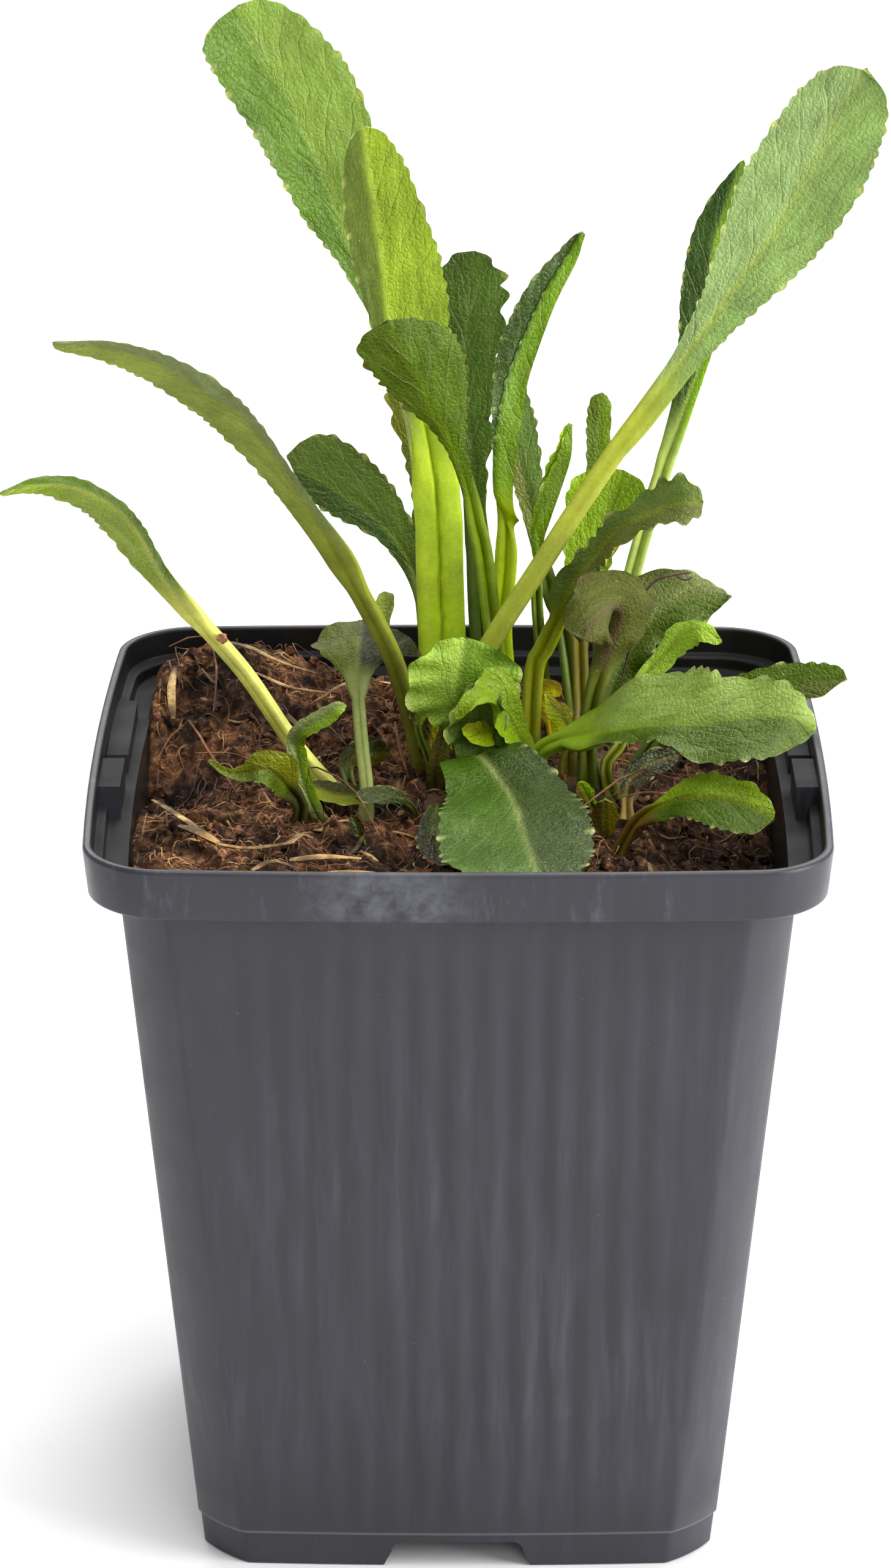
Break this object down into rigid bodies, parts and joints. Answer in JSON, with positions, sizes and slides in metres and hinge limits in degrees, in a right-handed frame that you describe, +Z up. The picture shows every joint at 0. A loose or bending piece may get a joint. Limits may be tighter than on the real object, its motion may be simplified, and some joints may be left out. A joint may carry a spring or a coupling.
{
  "type": "potted shasta daisy",
  "caption": "Young shasta daisy: a clump of toothed, spoon-shaped leaves on long stalks, growing in a square tapered nursery pot with a deep rim and a fill of fibrous medium.",
  "frame": {"origin": "centre of the pot's base on the ground", "axes": "+Z up along the pot's height; the pot's front face looks towards -Y; +X is to the right of someone looking at the front"},
  "size_m": [0.1066, 0.09, 0.1821],
  "materials": {
    "pot_plastic": "dark slate-grey moulded plastic with a satin surface, lightly scuffed",
    "medium": "loose reddish-brown fibrous peat and fine bark",
    "crown_wood": "rough olive-brown crown",
    "leaf_green": "mid green, waxy, with paler veins",
    "leaf_bright": "fresh yellow-green, waxy",
    "leaf_dark": "deep green, waxy",
    "leaf_olive": "olive green with brown and purple tints",
    "leaf_withered": "dried orange-yellow"
  },
  "bodies": {
    "root": {"pot": "pot_plastic", "growing_medium": "medium", "crown": "crown_wood", "leaf_tall_left": "leaf_green", "leaf_dark_back": "leaf_dark", "leaf_dark_inner": "leaf_dark", "leaf_dark_left": "leaf_dark", "leaf_tip_behind_arch": "leaf_dark", "leaf_upright_small": "leaf_green", "leaf_bright_behind": "leaf_bright", "leaf_behind_tall_right": "leaf_dark", "leaf_dark_behind_fold": "leaf_dark", "leaf_tall_centre": "leaf_bright", "leaf_nodding_centre": "leaf_dark", "leaf_folded_centre": "leaf_green", "leaf_folded_small": "leaf_green", "leaf_tall_right": "leaf_green", "leaf_arching_left": "leaf_olive", "leaf_low_arching_left": "leaf_green", "leaf_curled_olive": "leaf_olive", "leaf_hooked_left": "leaf_dark", "leaf_low_left_small": "leaf_green", "leaf_crinkled_centre": "leaf_green", "leaf_bright_centre": "leaf_bright", "leaf_olive_centre": "leaf_olive", "leaf_broad_front": "leaf_dark", "leaf_behind_front": "leaf_green", "sheath_olive_centre": "leaf_olive", "petiole_thin": "leaf_green", "leaf_dark_arching_right": "leaf_dark", "leaf_purple_curled": "leaf_olive", "leaf_dark_broad_right": "leaf_dark", "leaf_bright_narrow_right": "leaf_bright", "leaf_broad_right": "leaf_green", "leaf_dark_far_right": "leaf_dark", "leaf_bright_low_right": "leaf_bright", "leaf_grey_twisted": "leaf_green", "leaf_flat_on_soil": "leaf_olive", "leaf_dark_on_soil": "leaf_dark", "leaf_low_background": "leaf_green", "sprout_tiny": "leaf_green", "leaf_dark_tuft": "leaf_dark", "leaf_curled_tuft": "leaf_dark", "leaf_yellow_tuft": "leaf_bright", "leaf_withered_orange": "leaf_withered", "leaf_pointed_small": "leaf_green"}
  },
  "joints": []
}
